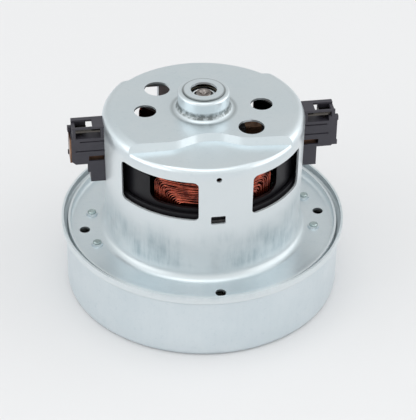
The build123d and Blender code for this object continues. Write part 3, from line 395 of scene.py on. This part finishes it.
@dataclass(frozen=True)
class DrawnSheet(Finish):
    """Drawn zinc-plated sheet: a matt wall with blue-grey stains, and painted shade in the corners of the
    boss and in a ring round it.
    """

    wall: Colour = (0.66, 0.705, 0.725)
    wall_zone: Zone = Zone(
        (FLANGE_TOP + 0.4 * MM, FLANGE_TOP + 1.4 * MM), (FRAME_TOP - 9.4 * MM, FRAME_TOP - 5.4 * MM)
    )
    wall_share: float = 0.8
    wall_metallic: float = 0.4
    top_mark_share: float = 0.15
    stain: Colour = (0.3, 0.39, 0.43)
    stain_zone: Zone = Zone(
        (FLANGE_TOP + 3.0 * MM, FLANGE_TOP + 7.0 * MM), (FLANGE_TOP + 14.0 * MM, FLANGE_TOP + 30.0 * MM)
    )
    stain_share: float = 0.75
    stain_ground: float = 0.3
    streak_scale: float = 420.0
    cloud_scale: float = 52.0
    # Painted shade: a dark grey laid at the boss's foot, in the groove of its roof and in a ring round it on
    # the panel, where shade falls.
    painted_shade: Colour = (0.12, 0.135, 0.135)
    shade_patch_scale: float = 480.0
    foot_zone: Zone = Zone(
        (FRAME_TOP + 0.6 * MM, FRAME_TOP + 1.2 * MM), (FRAME_TOP + 3.2 * MM, FRAME_TOP + 4.4 * MM)
    )
    foot_share: float = 0.9
    foot_thin: float = 0.5
    groove_ring: Zone = Zone((8.9 * MM, 9.65 * MM), (9.65 * MM, 10.4 * MM))
    groove_above: Band = (FRAME_TOP + 5.6 * MM, FRAME_TOP + 6.6 * MM)
    groove_share: float = 0.9
    halo_ring: Zone = Zone((13.2 * MM, 14.65 * MM), (14.65 * MM, 16.1 * MM))
    halo_above: Band = (FRAME_TOP - 5.4 * MM, FRAME_TOP - 4.4 * MM)
    halo_share: float = 0.42

    def wire(self, graph: Graph, shader: bpy.types.Node) -> bpy.types.Node:
        """Joins the shared group to the shader, and lays the wall's tone, the stains and the painted shade at
        the boss on it.

        Args:
            graph: the material's graph.
            shader: its Principled node.

        Returns:
            The group's node.
        """
        surface = super().wire(graph, shader)
        place = graph.add("ShaderNodeTexCoord").outputs["Object"]
        x, y, height = graph.add("ShaderNodeSeparateXYZ", None, vector=place).outputs
        on_wall = self.wall_zone.mask(graph, height)
        marks = graph.span(height, self.wall_zone.fall, self.mark, self.mark * self.top_mark_share)
        metallic = graph.span(on_wall, (0.0, 1.0), self.metallic, self.wall_metallic)
        wall_share = graph.product(on_wall, self.wall_share)
        clean = graph.blend(wall_share, surface.outputs["Colour"], (*self.wall, 1.0))
        stained = graph.blend(self.stain_mask(graph, place, height), clean, (*self.stain, 1.0))
        # Painted shade at the boss, laid over the wall's tone and the stains.
        shade_share = self.painted_shade_mask(graph, place, graph.reach(x, y), height)
        graph.feed(surface.inputs["Mark"], marks)
        graph.feed(shader.inputs["Metallic"], metallic)
        graph.feed(shader.inputs["Base Color"], graph.blend(shade_share, stained, (*self.painted_shade, 1.0)))
        return surface

    def stain_mask(self, graph: Graph, place: Value, height: Value) -> bpy.types.NodeSocket:
        """Masks the stains on the wall above the flange: drawn streaks inside soft clouds.

        Args:
            graph: the material's graph.
            place: the place on the part.
            height: its height.

        Returns:
            The mask.
        """
        marks = graph.add("ShaderNodeGroup", {"node_tree": LAYS[Lay.DRAWN]}, place=place)
        streaks = STREAKS.draw(graph, marks.outputs["Marks"], self.streak_scale)
        clouds = CLOUDS.draw(graph, place, self.cloud_scale)
        most = graph.product(CLOUDS.shown(graph, clouds), self.stain_share)
        least = graph.product(most, self.stain_ground)
        return graph.product(self.stain_zone.mask(graph, height), STREAKS.shown(graph, streaks, least, most))

    def painted_shade_mask(self, graph: Graph, place: Value, reach: Value, height: Value) -> bpy.types.NodeSocket:
        """Masks the painted shade at the boss: its foot, the groove in its roof and the ring round it.

        Args:
            graph: the material's graph.
            place: the place on the part.
            reach: its distance from the shaft's axis.
            height: its height.

        Returns:
            The mask.
        """
        # The painted shade at the foot is broken into patches.
        patches = PATCHES.shown(graph, PATCHES.draw(graph, place, self.shade_patch_scale), self.foot_thin)
        foot = graph.product(self.foot_zone.mask(graph, height), self.foot_share, patches)
        roof = graph.span(height, self.groove_above, 0.0, self.groove_share)
        panel = graph.span(height, self.halo_above, 0.0, self.halo_share)
        groove = graph.product(self.groove_ring.mask(graph, reach), roof)
        halo = graph.product(self.halo_ring.mask(graph, reach), panel)
        return graph.maths("MAXIMUM", foot, graph.maths("MAXIMUM", groove, halo))


SHEET = DrawnSheet(
    "zinc_plated_steel", (0.7, 0.76, 0.79), (0.58, 0.66, 0.7), 0.8, 0.28, 0.42, Lay.DRAWN,
    drift_scale=38.0, drift=0.4, mark_scale=700.0, mark=0.1, spot_scale=600.0, spot=0.25,
    bump_depth=0.01 * MM, bump_strength=0.25,
)
BRACKET = Finish("bracket_steel", (0.6, 0.63, 0.63), (0.5, 0.52, 0.53), 1.0, 0.3, 0.45)
SCREW = Finish("screw_steel", (0.5, 0.6, 0.6), (0.3, 0.36, 0.36), 1.0, 0.25, 0.4, Lay.TURNED, mark=0.5)
SHAFT = Finish(
    "shaft_steel", (0.3, 0.28, 0.27), (0.14, 0.1, 0.08), 1.0, 0.16, 0.3, Lay.TURNED,
    mark_scale=2500.0, mark=0.5,
)
BEARING = Finish(
    "bearing_steel", (0.62, 0.62, 0.62), (0.5, 0.5, 0.5), 1.0, 0.1, 0.22, Lay.TURNED,
    mark_scale=3000.0, mark=0.4,
)
CAGE = Finish("cage_plastic", (0.34, 0.3, 0.22), (0.27, 0.24, 0.18), 0.0, 0.45, 0.6)
COLLAR = Finish("collar_steel", (0.55, 0.55, 0.56), (0.4, 0.4, 0.41), 1.0, 0.2, 0.35, Lay.TURNED, mark=0.5)
NUT = Finish("nut_steel", (0.6, 0.6, 0.56), (0.42, 0.4, 0.34), 1.0, 0.22, 0.4, Lay.TURNED, mark=0.4)
LAMINATION = Finish(
    "lamination_steel", (0.1, 0.1, 0.105), (0.05, 0.045, 0.042), 1.0, 0.4, 0.6, Lay.STACKED,
    mark_scale=2400.0, mark=0.8, bump_depth=0.1 * MM, bump_strength=0.6,
)
BLACK = Finish(
    "black_moulding", (0.006, 0.006, 0.008), (0.012, 0.011, 0.013), 0.0, 0.35, 0.55,
    mark_scale=2600.0, bump_depth=0.04 * MM, specular=0.25,
)
HOLDER = Finish(
    "holder_plastic", (0.031, 0.029, 0.039), (0.045, 0.042, 0.053), 0.0, 0.42, 0.58,
    drift_scale=90.0, mark_scale=3200.0, mark=0.35, spot=0.15, bump_depth=0.05 * MM, bump_strength=0.35,
)
DIFFUSER = Finish(
    "diffuser_plastic", (0.6, 0.59, 0.56), (0.5, 0.49, 0.46), 0.0, 0.4, 0.55,
    mark_scale=2000.0, bump_depth=0.03 * MM,
)
# The second colour, a near-black red drifted in at random, is painted shade on the wires; the base is the
# copper's own colour.
COPPER = Finish(
    "field_copper", (0.6, 0.125, 0.065), (0.15, 0.02, 0.012), 0.95, 0.16, 0.3,
    drift_scale=260.0, drift=0.85, mark_scale=1400.0, mark=0.35, coat=0.6, coat_roughness=0.1,
)
# The near-black colour of this core is painted shade, so that the gaps between the wires look shaded.
COIL_CORE = Finish(
    "coil_varnish", (0.03, 0.008, 0.005), (0.012, 0.004, 0.003), 0.3, 0.35, 0.5, specular=0.3
)
WINDING = Finish(
    "armature_copper", (0.62, 0.19, 0.07), (0.42, 0.11, 0.04), 0.8, 0.25, 0.4, mark_scale=1600.0, coat=0.5
)
# The tube's brass is darkened as painted shade, so that it reads dark where it shows through the holder's
# side notch.
BRASS = Finish(
    "tube_brass", (0.36, 0.2, 0.12), (0.13, 0.07, 0.045), 1.0, 0.26, 0.42,
    drift_scale=150.0, drift=0.8, mark_scale=1500.0,
)
# Painted shade: the terminal's brass is coloured near black for the shade under the holder's roof.
TERMINAL = Finish(
    "terminal_brass", (0.12, 0.11, 0.1), (0.07, 0.065, 0.06), 1.0, 0.2, 0.35, mark_scale=1500.0
)
CARBON = Finish(
    "carbon", (0.022, 0.022, 0.024), (0.05, 0.05, 0.052), 0.0, 0.5, 0.75,
    mark_scale=4000.0, bump_depth=0.06 * MM,
)
SPRING = Finish("spring_steel", (0.56, 0.56, 0.55), (0.42, 0.4, 0.38), 1.0, 0.2, 0.34, mark_scale=2000.0)
COMMUTATOR = Finish(
    "commutator_copper", (0.74, 0.34, 0.16), (0.4, 0.17, 0.08), 1.0, 0.18, 0.36, Lay.STACKED,
    mark_scale=3000.0, mark=0.7,
)
COMMUTATOR_HUB = Finish("commutator_moulding", (0.1, 0.05, 0.03), (0.15, 0.08, 0.05), 0.0, 0.45, 0.6)
ALUMINIUM = Finish(
    "impeller_aluminium", (0.76, 0.77, 0.78), (0.6, 0.61, 0.62), 1.0, 0.26, 0.4, Lay.TURNED,
    mark_scale=1200.0, mark=0.4,
)


def dress(finish: Finish, *names: str) -> None:
    """Gives CAD nodes one finish.

    Args:
        finish: the finish.
        names: the nodes.
    """
    for name in names:
        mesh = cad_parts[name].data
        mesh.materials.clear()
        mesh.materials.append(finish.material())


# Wire that follows lines


def build_wire_tree() -> bpy.types.NodeTree:
    """Builds the tree that lays wire along every line of its mesh.

    Returns:
        The tree, with the inputs Lines, Wire Radius, Sides, Stray, Stray Scale, Seed and Finish.
    """
    tree = bpy.data.node_groups.new("wire_along_lines", "GeometryNodeTree")
    tree.is_modifier = True
    sockets = {
        "Lines": "Geometry", "Wire Radius": "Float", "Sides": "Int", "Stray": "Float",
        "Stray Scale": "Float", "Seed": "Float", "Finish": "Material",
    }
    for label, kind in sockets.items():
        tree.interface.new_socket(label, in_out="INPUT", socket_type=f"NodeSocket{kind}")
    tree.interface.new_socket("Wire", in_out="OUTPUT", socket_type="NodeSocketGeometry")
    graph = Graph(tree)
    given = graph.add("NodeGroupInput").outputs
    leave = graph.add("NodeGroupOutput")
    curve = graph.add("GeometryNodeMeshToCurve", None, mesh=given["Lines"])
    noise = graph.add(
        "ShaderNodeTexNoise",
        {"noise_dimensions": "4D"},
        vector=graph.add("GeometryNodeInputPosition").outputs[0],
        w=given["Seed"],
        scale=given["Stray Scale"],
        detail=1.0,
    )
    centred = graph.add(
        "ShaderNodeVectorMath", {"operation": "SUBTRACT"}, in_0=noise.outputs["Color"], in_1=(0.5, 0.5, 0.5)
    )
    shift = graph.add("ShaderNodeVectorMath", {"operation": "SCALE"}, in_0=centred.outputs[0])
    graph.feed(shift.inputs["Scale"], given["Stray"])
    moved = graph.add("GeometryNodeSetPosition", None, geometry=curve.outputs[0], offset=shift.outputs[0])
    profile = graph.add(
        "GeometryNodeCurvePrimitiveCircle", None, resolution=given["Sides"], radius=given["Wire Radius"]
    )
    swept = graph.add(
        "GeometryNodeCurveToMesh",
        None,
        curve=moved.outputs[0],
        profile_curve=profile.outputs[0],
        fill_caps=True,
    )
    smooth = graph.add("GeometryNodeSetShadeSmooth", None, geometry=swept.outputs[0], shade_smooth=True)
    real = graph.add("GeometryNodeRealizeInstances", None, geometry=smooth.outputs[0])
    made = graph.add("GeometryNodeSetMaterial", None, geometry=real.outputs[0], material=given["Finish"])
    graph.feed(leave.inputs["Wire"], made.outputs[0])
    return tree


WIRE_TREE = build_wire_tree()


@dataclass
class Wire:
    """Wire of one size that follows lines, made a plain mesh."""

    name: str
    finish: Finish
    body: str
    radius: float
    sides: int
    stray: float = 0.0
    stray_scale: float = 120.0
    seed: float = 1.0

    def guide(self, lines: list[Line], closed: bool) -> bpy.types.Object:
        """Makes the object whose edges the wire follows.

        Args:
            lines: the points of each line, in metres.
            closed: whether each line ends where it begins.

        Returns:
            The object.
        """
        points: Line = []
        edges: list[tuple[int, int]] = []
        for line in lines:
            first = len(points)
            points.extend(line)
            last = len(points) - 1
            edges.extend((point, point + 1) for point in range(first, last))
            if closed:
                edges.append((last, first))
        mesh = bpy.data.meshes.new(self.name)
        mesh.from_pydata(points, edges, [])
        guide = bpy.data.objects.new(self.name, mesh)
        bpy.context.scene.collection.objects.link(guide)
        return guide

    def lay(self, lines: list[Line], closed: bool) -> bpy.types.Object:
        """Lays the wire.

        Args:
            lines: the points that each wire follows, in metres.
            closed: whether each line ends where it begins.

        Returns:
            The finished piece, riding on its body.
        """
        piece = self.guide(lines, closed)
        modifier = piece.modifiers.new("wire", "NODES")
        modifier.node_group = WIRE_TREE
        values = {
            "Wire Radius": self.radius, "Sides": self.sides, "Stray": self.stray,
            "Stray Scale": self.stray_scale, "Seed": self.seed, "Finish": self.finish.material(),
        }
        for item in WIRE_TREE.interface.items_tree:
            if item.item_type == "SOCKET" and item.in_out == "INPUT" and item.name in values:
                modifier[item.identifier] = values[item.name]
        evaluated = piece.evaluated_get(bpy.context.evaluated_depsgraph_get())
        solid = bpy.data.meshes.new_from_object(evaluated)
        piece.modifiers.clear()
        piece.data = solid
        solid.name = self.name
        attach(piece, self.body)
        LOG.info("%s: %d faces", self.name, len(solid.polygons))
        return piece


# Sub-assemblies


@dataclass
class Housing:
    """Fan cover, motor frame, stator core, bracket, diffuser and flange screws."""

    body: str = "housing"
    screw_ring: float = 53.6 * MM
    screw_angle: float = 13.3
    screw_radius: float = 1.93 * MM
    thread_low: float = FLANGE_TOP + 1.25 * MM
    thread_high: float = FLANGE_TOP + 1.65 * MM
    thread_pitch: float = 0.35 * MM
    thread_depth: float = 0.09 * MM
    thread_sides: int = 6
    steps_per_turn: int = 24

    def thread(self, angle: float) -> Line:
        """Finds the line of one screw's thread above the flange.

        Args:
            angle: the screw's place round the shaft, in degrees.

        Returns:
            The points of the line.
        """
        way = math.radians(angle)
        centre = Vector((math.cos(way), math.sin(way), 0.0)) * self.screw_ring
        turns = (self.thread_high - self.thread_low) / self.thread_pitch
        points: Line = []
        for step in range(round(turns * self.steps_per_turn) + 1):
            turn = math.tau * step / self.steps_per_turn
            height = self.thread_low + self.thread_pitch * step / self.steps_per_turn
            out = Vector((math.cos(turn), math.sin(turn), 0.0)) * self.screw_radius
            points.append(centre + out + Vector((0.0, 0.0, height)))
        return points

    def build(self) -> None:
        """Dresses the pressings and cuts the screws' threads."""
        dress(SHEET, "fan_cover", "motor_frame")
        dress(BRACKET, "bearing_bracket")
        dress(SCREW, "flange_screws")
        dress(DIFFUSER, "diffuser")
        dress(LAMINATION, "stator_core")
        angles = [side + hand * self.screw_angle for side in (0.0, 180.0) for hand in (-1, 1)]
        ridge = Wire("screw_threads", SCREW, self.body, self.thread_depth, self.thread_sides)
        ridge.lay([self.thread(angle) for angle in angles], False)


@dataclass
class FieldWinding:
    """One saddle-shaped field coil in its insulator."""

    end: End
    body: str = "housing"
    wire_radius: float = 0.29 * MM
    wire_sides: int = 8
    pitch: float = 0.78 * MM
    turns: int = 15
    layers: int = 3
    layer_share: float = 0.8
    shell_radius: float = 39.6 * MM
    side_near: float = 25.6
    side_far: float = 42.0
    top_near: float = 67.7 * MM
    bottom_near: float = 41.9 * MM
    corner: float = 3.0 * MM
    corner_steps: int = 4
    run_steps: int = 20
    least_run: float = 0.2
    wave_rate: float = 5.0
    wave_up: float = 0.7 * MM
    wave_out: float = 0.2 * MM
    uneven_out: float = 0.12 * MM
    uneven_up: float = 0.16 * MM
    stray: float = 0.7 * MM
    stray_scale: float = 90.0
    seed: int = 7

    @property
    def name(self) -> str:
        """The coil's word in node names."""
        return self.end.name.lower()

    def outline(self, half: float, high: float, low: float, turned: float) -> list[tuple[float, float]]:
        """Finds the rounded oblong of one turn, laid flat.

        Args:
            half: the angle from the pole's middle to the turn's side, in radians.
            high: its top's height.
            low: its bottom's height.
            turned: the angle that its corners' radius takes up.

        Returns:
            Angles from the pole's middle, with heights.
        """
        corners = ((half, high), (-half, high), (-half, low), (half, low))
        outline: list[tuple[float, float]] = []
        for number, (side, edge) in enumerate(corners):
            centre = side - math.copysign(turned, side)
            middle = edge - math.copysign(self.corner, edge - (high + low) / 2)
            for step in range(self.corner_steps + 1):
                angle = math.radians(90.0 * (number + step / self.corner_steps))
                outline.append((centre + turned * math.cos(angle), middle + self.corner * math.sin(angle)))
        return outline

    def loop(self, turn: int, layer: int, rng: random.Random) -> Line:
        """Finds the closed line of one turn.

        Args:
            turn: its number, from the pole outwards.
            layer: its layer, from the outermost inwards.
            rng: the source of small differences.

        Returns:
            The points of the line.
        """
        depth = layer * 2 * self.wire_radius * self.layer_share
        radius = self.shell_radius - depth + rng.uniform(-self.uneven_out, self.uneven_out)
        share = turn / (self.turns - 1)
        half = math.radians(self.side_near + share * (self.side_far - self.side_near))
        high = self.top_near + turn * self.pitch + rng.uniform(-self.uneven_up, self.uneven_up)
        low = self.bottom_near - turn * self.pitch
        outline = self.outline(half, high, low, self.corner / radius)
        middle = math.radians(90.0 * self.end.value)
        phase = rng.uniform(0.0, math.tau)
        points: Line = []
        for (side, edge), (next_side, next_edge) in zip(outline, outline[1:] + outline[:1]):
            count = self.run_steps if abs(next_side - side) > self.least_run else 1
            for step in range(count):
                away = side + (next_side - side) * step / count
                height = edge + (next_edge - edge) * step / count
                wave = math.sin(self.wave_rate * away + phase)
                reach = radius + self.wave_out * wave
                rise = height + self.wave_up * wave * math.cos(away)
                angle = middle + away
                points.append(Vector((reach * math.cos(angle), reach * math.sin(angle), rise)))
        return points

    def build(self) -> None:
        """Winds the coil over its core and dresses the insulator."""
        rng = random.Random(self.seed + self.end.value)
        loops = [self.loop(turn, layer, rng) for layer in range(self.layers) for turn in range(self.turns)]
        wire = Wire(
            f"{self.name}_coil_wires",
            COPPER,
            self.body,
            self.wire_radius,
            self.wire_sides,
            self.stray,
            self.stray_scale,
            float(self.seed),
        )
        piece = wire.lay(loops, True)
        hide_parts(f"{self.name}_field_coil_turns")
        dress(COIL_CORE, f"{self.name}_field_coil")
        dress(BLACK, f"{self.name}_insulator")


@dataclass
class BrushGear:
    """One brush with its holder, guide tube, spring and terminal."""

    side: Side
    body: str = "housing"
    height: float = 78.0 * MM
    spring_radius: float = 1.95 * MM
    spring_from: float = 38.6 * MM
    spring_to: float = 61.5 * MM
    spring_keep: float = 0.87
    curls: int = 9
    steps_per_curl: int = 20
    wire_radius: float = 0.28 * MM
    wire_sides: int = 10

    @property
    def name(self) -> str:
        """The brush's word in node names."""
        return self.side.name.lower()

    def spring(self) -> Line:
        """Finds the spring's line along X."""
        points: Line = []
        total = self.curls * self.steps_per_curl
        for step in range(total + 1):
            angle = math.tau * step / self.steps_per_curl
            along = self.spring_from + (self.spring_to - self.spring_from) * step / total
            around = Vector((0.0, math.cos(angle), math.sin(angle))) * self.spring_radius
            points.append(Vector((self.side.value * along, around.y, self.height + around.z)))
        return points

    def build(self) -> None:
        """Coils the spring and dresses the brush's pieces."""
        wire = Wire(f"{self.name}_spring_wire", SPRING, self.body, self.wire_radius, self.wire_sides)
        piece = wire.lay([self.spring()], False)
        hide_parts(f"{self.name}_brush_spring")
        joint = f"{self.name}_brush_slide"
        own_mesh(piece)
        dress(HOLDER, f"{self.name}_brush_holder")
        dress(BRASS, f"{self.name}_brush_tube")
        dress(CARBON, f"{self.name}_carbon_brush")
        dress(TERMINAL, f"{self.name}_brush_terminal")


@dataclass
class Rotor:
    """Shaft, armature, commutator and impeller."""

    impeller: tuple[str, ...] = ("impeller_back_disc", "impeller_front_disc", "impeller_blades")

    def build(self) -> None:
        """Dresses what turns."""
        dress(SHAFT, "shaft")
        dress(LAMINATION, "armature_core")
        dress(WINDING, "armature_windings")
        dress(COMMUTATOR_HUB, "commutator_hub")
        dress(COMMUTATOR, "commutator_bars")
        dress(ALUMINIUM, *self.impeller)
        dress(COLLAR, "impeller_collar", "impeller_washer")
        dress(NUT, "impeller_nut")


@dataclass
class Bearings:
    """The two ball bearings and the preload washer."""

    names: tuple[str, str] = ("upper", "lower")

    def build(self) -> None:
        """Dresses rings, balls, cages and the washer."""
        for name in self.names:
            dress(BEARING, *(f"{name}_bearing_{part}" for part in ("outer_ring", "inner_ring", "balls")))
            dress(CAGE, f"{name}_bearing_cage")
        dress(BRACKET, "preload_washer")


# Studio


@dataclass
class Lamp:
    """One soft area lamp that looks at the part's middle."""

    name: str
    place: Place
    size: float
    power: float
    target: Place = (0.0, 0.0, 0.06)

    def build(self) -> None:
        """Hangs the lamp."""
        data = bpy.data.lights.new(self.name, "AREA")
        data.shape = "DISK"
        data.size = self.size
        data.energy = self.power
        lamp = bpy.data.objects.new(self.name, data)
        bpy.context.scene.collection.objects.link(lamp)
        lamp.location = self.place
        aim = Vector(self.target) - Vector(self.place)
        lamp.rotation_euler = aim.to_track_quat("-Z", "Y").to_euler()


@dataclass
class Studio:
    """Pale floor, soft light and the camera at the photograph's angle."""

    floor_side: float = 12.0
    floor_colour: Colour = (0.735, 0.732, 0.742)
    floor_roughness: float = 0.9
    floor_specular: float = 0.1
    sky_tint: Colour = (0.985, 1.0, 0.995)
    sky_front: float = 0.94
    sky_rear: float = 0.62
    sky_side: float = 1.2
    sky_top: float = 1.2
    front_to_rear: Band = (-0.6, 0.5)
    middle_to_side: Band = (0.5, 0.9)
    middle_to_top: Band = (0.66, 0.9)
    lamps: list[Lamp] = field(
        default_factory=lambda: [
            Lamp("overhead", (-0.12, -0.1, 1.2), 0.9, 1.2),
            Lamp("left", (-1.0, -0.3, 0.35), 1.2, 2.8),
            Lamp("right", (0.98, -0.2, 0.35), 1.3, 3.0),
        ]
    )
    camera_place: Place = (-0.1102, -0.6929, 0.5426)
    camera_turn: tuple[float, float, float] = (54.169, -0.676, -8.771)
    camera_lens: float = 154.29
    camera_sensor: float = 36.0
    camera_near: float = 10.0 * MM

    def floor(self) -> None:
        """Lays the floor."""
        half = self.floor_side / 2
        corners = [(-half, -half, 0), (half, -half, 0), (half, half, 0), (-half, half, 0)]
        mesh = bpy.data.meshes.new("floor")
        mesh.from_pydata(corners, [], [(0, 1, 2, 3)])
        floor = bpy.data.objects.new("floor", mesh)
        bpy.context.scene.collection.objects.link(floor)
        material = bpy.data.materials.new("floor_paper")
        material.use_nodes = True
        shader = material.node_tree.nodes["Principled BSDF"]
        shader.inputs["Base Color"].default_value = (*self.floor_colour, 1.0)
        shader.inputs["Roughness"].default_value = self.floor_roughness
        shader.inputs["Specular IOR Level"].default_value = self.floor_specular
        mesh.materials.append(material)

    def sky(self) -> None:
        """Sets the world: dim behind the part, brighter in front, and brightest overhead and at the sides."""
        world = bpy.data.worlds.new("studio")
        bpy.context.scene.world = world
        world.use_nodes = True
        graph = Graph(world.node_tree)
        back = world.node_tree.nodes["Background"]
        way = graph.add("ShaderNodeTexCoord").outputs["Generated"]
        x, y, z = graph.add("ShaderNodeSeparateXYZ", None, vector=way).outputs
        level = graph.span(y, self.front_to_rear, self.sky_front, self.sky_rear)
        wide = graph.span(graph.maths("ABSOLUTE", x), self.middle_to_side, level, self.sky_side)
        graph.feed(back.inputs["Strength"], graph.span(z, self.middle_to_top, wide, self.sky_top))
        back.inputs["Color"].default_value = (*self.sky_tint, 1.0)

    def camera(self) -> None:
        """Sets the camera."""
        data = bpy.data.cameras.new("camera")
        data.lens = self.camera_lens
        data.sensor_width = self.camera_sensor
        data.clip_start = self.camera_near
        camera = bpy.data.objects.new("camera", data)
        bpy.context.scene.collection.objects.link(camera)
        camera.location = self.camera_place
        camera.rotation_euler = [math.radians(turn) for turn in self.camera_turn]
        bpy.context.scene.camera = camera

    def build(self) -> None:
        """Builds the studio."""
        self.floor()
        self.sky()
        self.camera()
        for lamp in self.lamps:
            lamp.build()
        bpy.context.scene.view_settings.view_transform = "Standard"


def main() -> None:
    """Builds the scene."""
    logging.basicConfig(level=logging.INFO, format="%(name)s: %(message)s")
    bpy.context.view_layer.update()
    assemblies = [
        Housing(),
        FieldWinding(End.FRONT),
        FieldWinding(End.REAR),
        BrushGear(Side.LEFT),
        BrushGear(Side.RIGHT),
        Rotor(),
        Bearings(),
        Studio(),
    ]
    for assembly in assemblies:
        assembly.build()
        LOG.info("built %s", type(assembly).__name__)


if __name__ == "__main__":
    main()
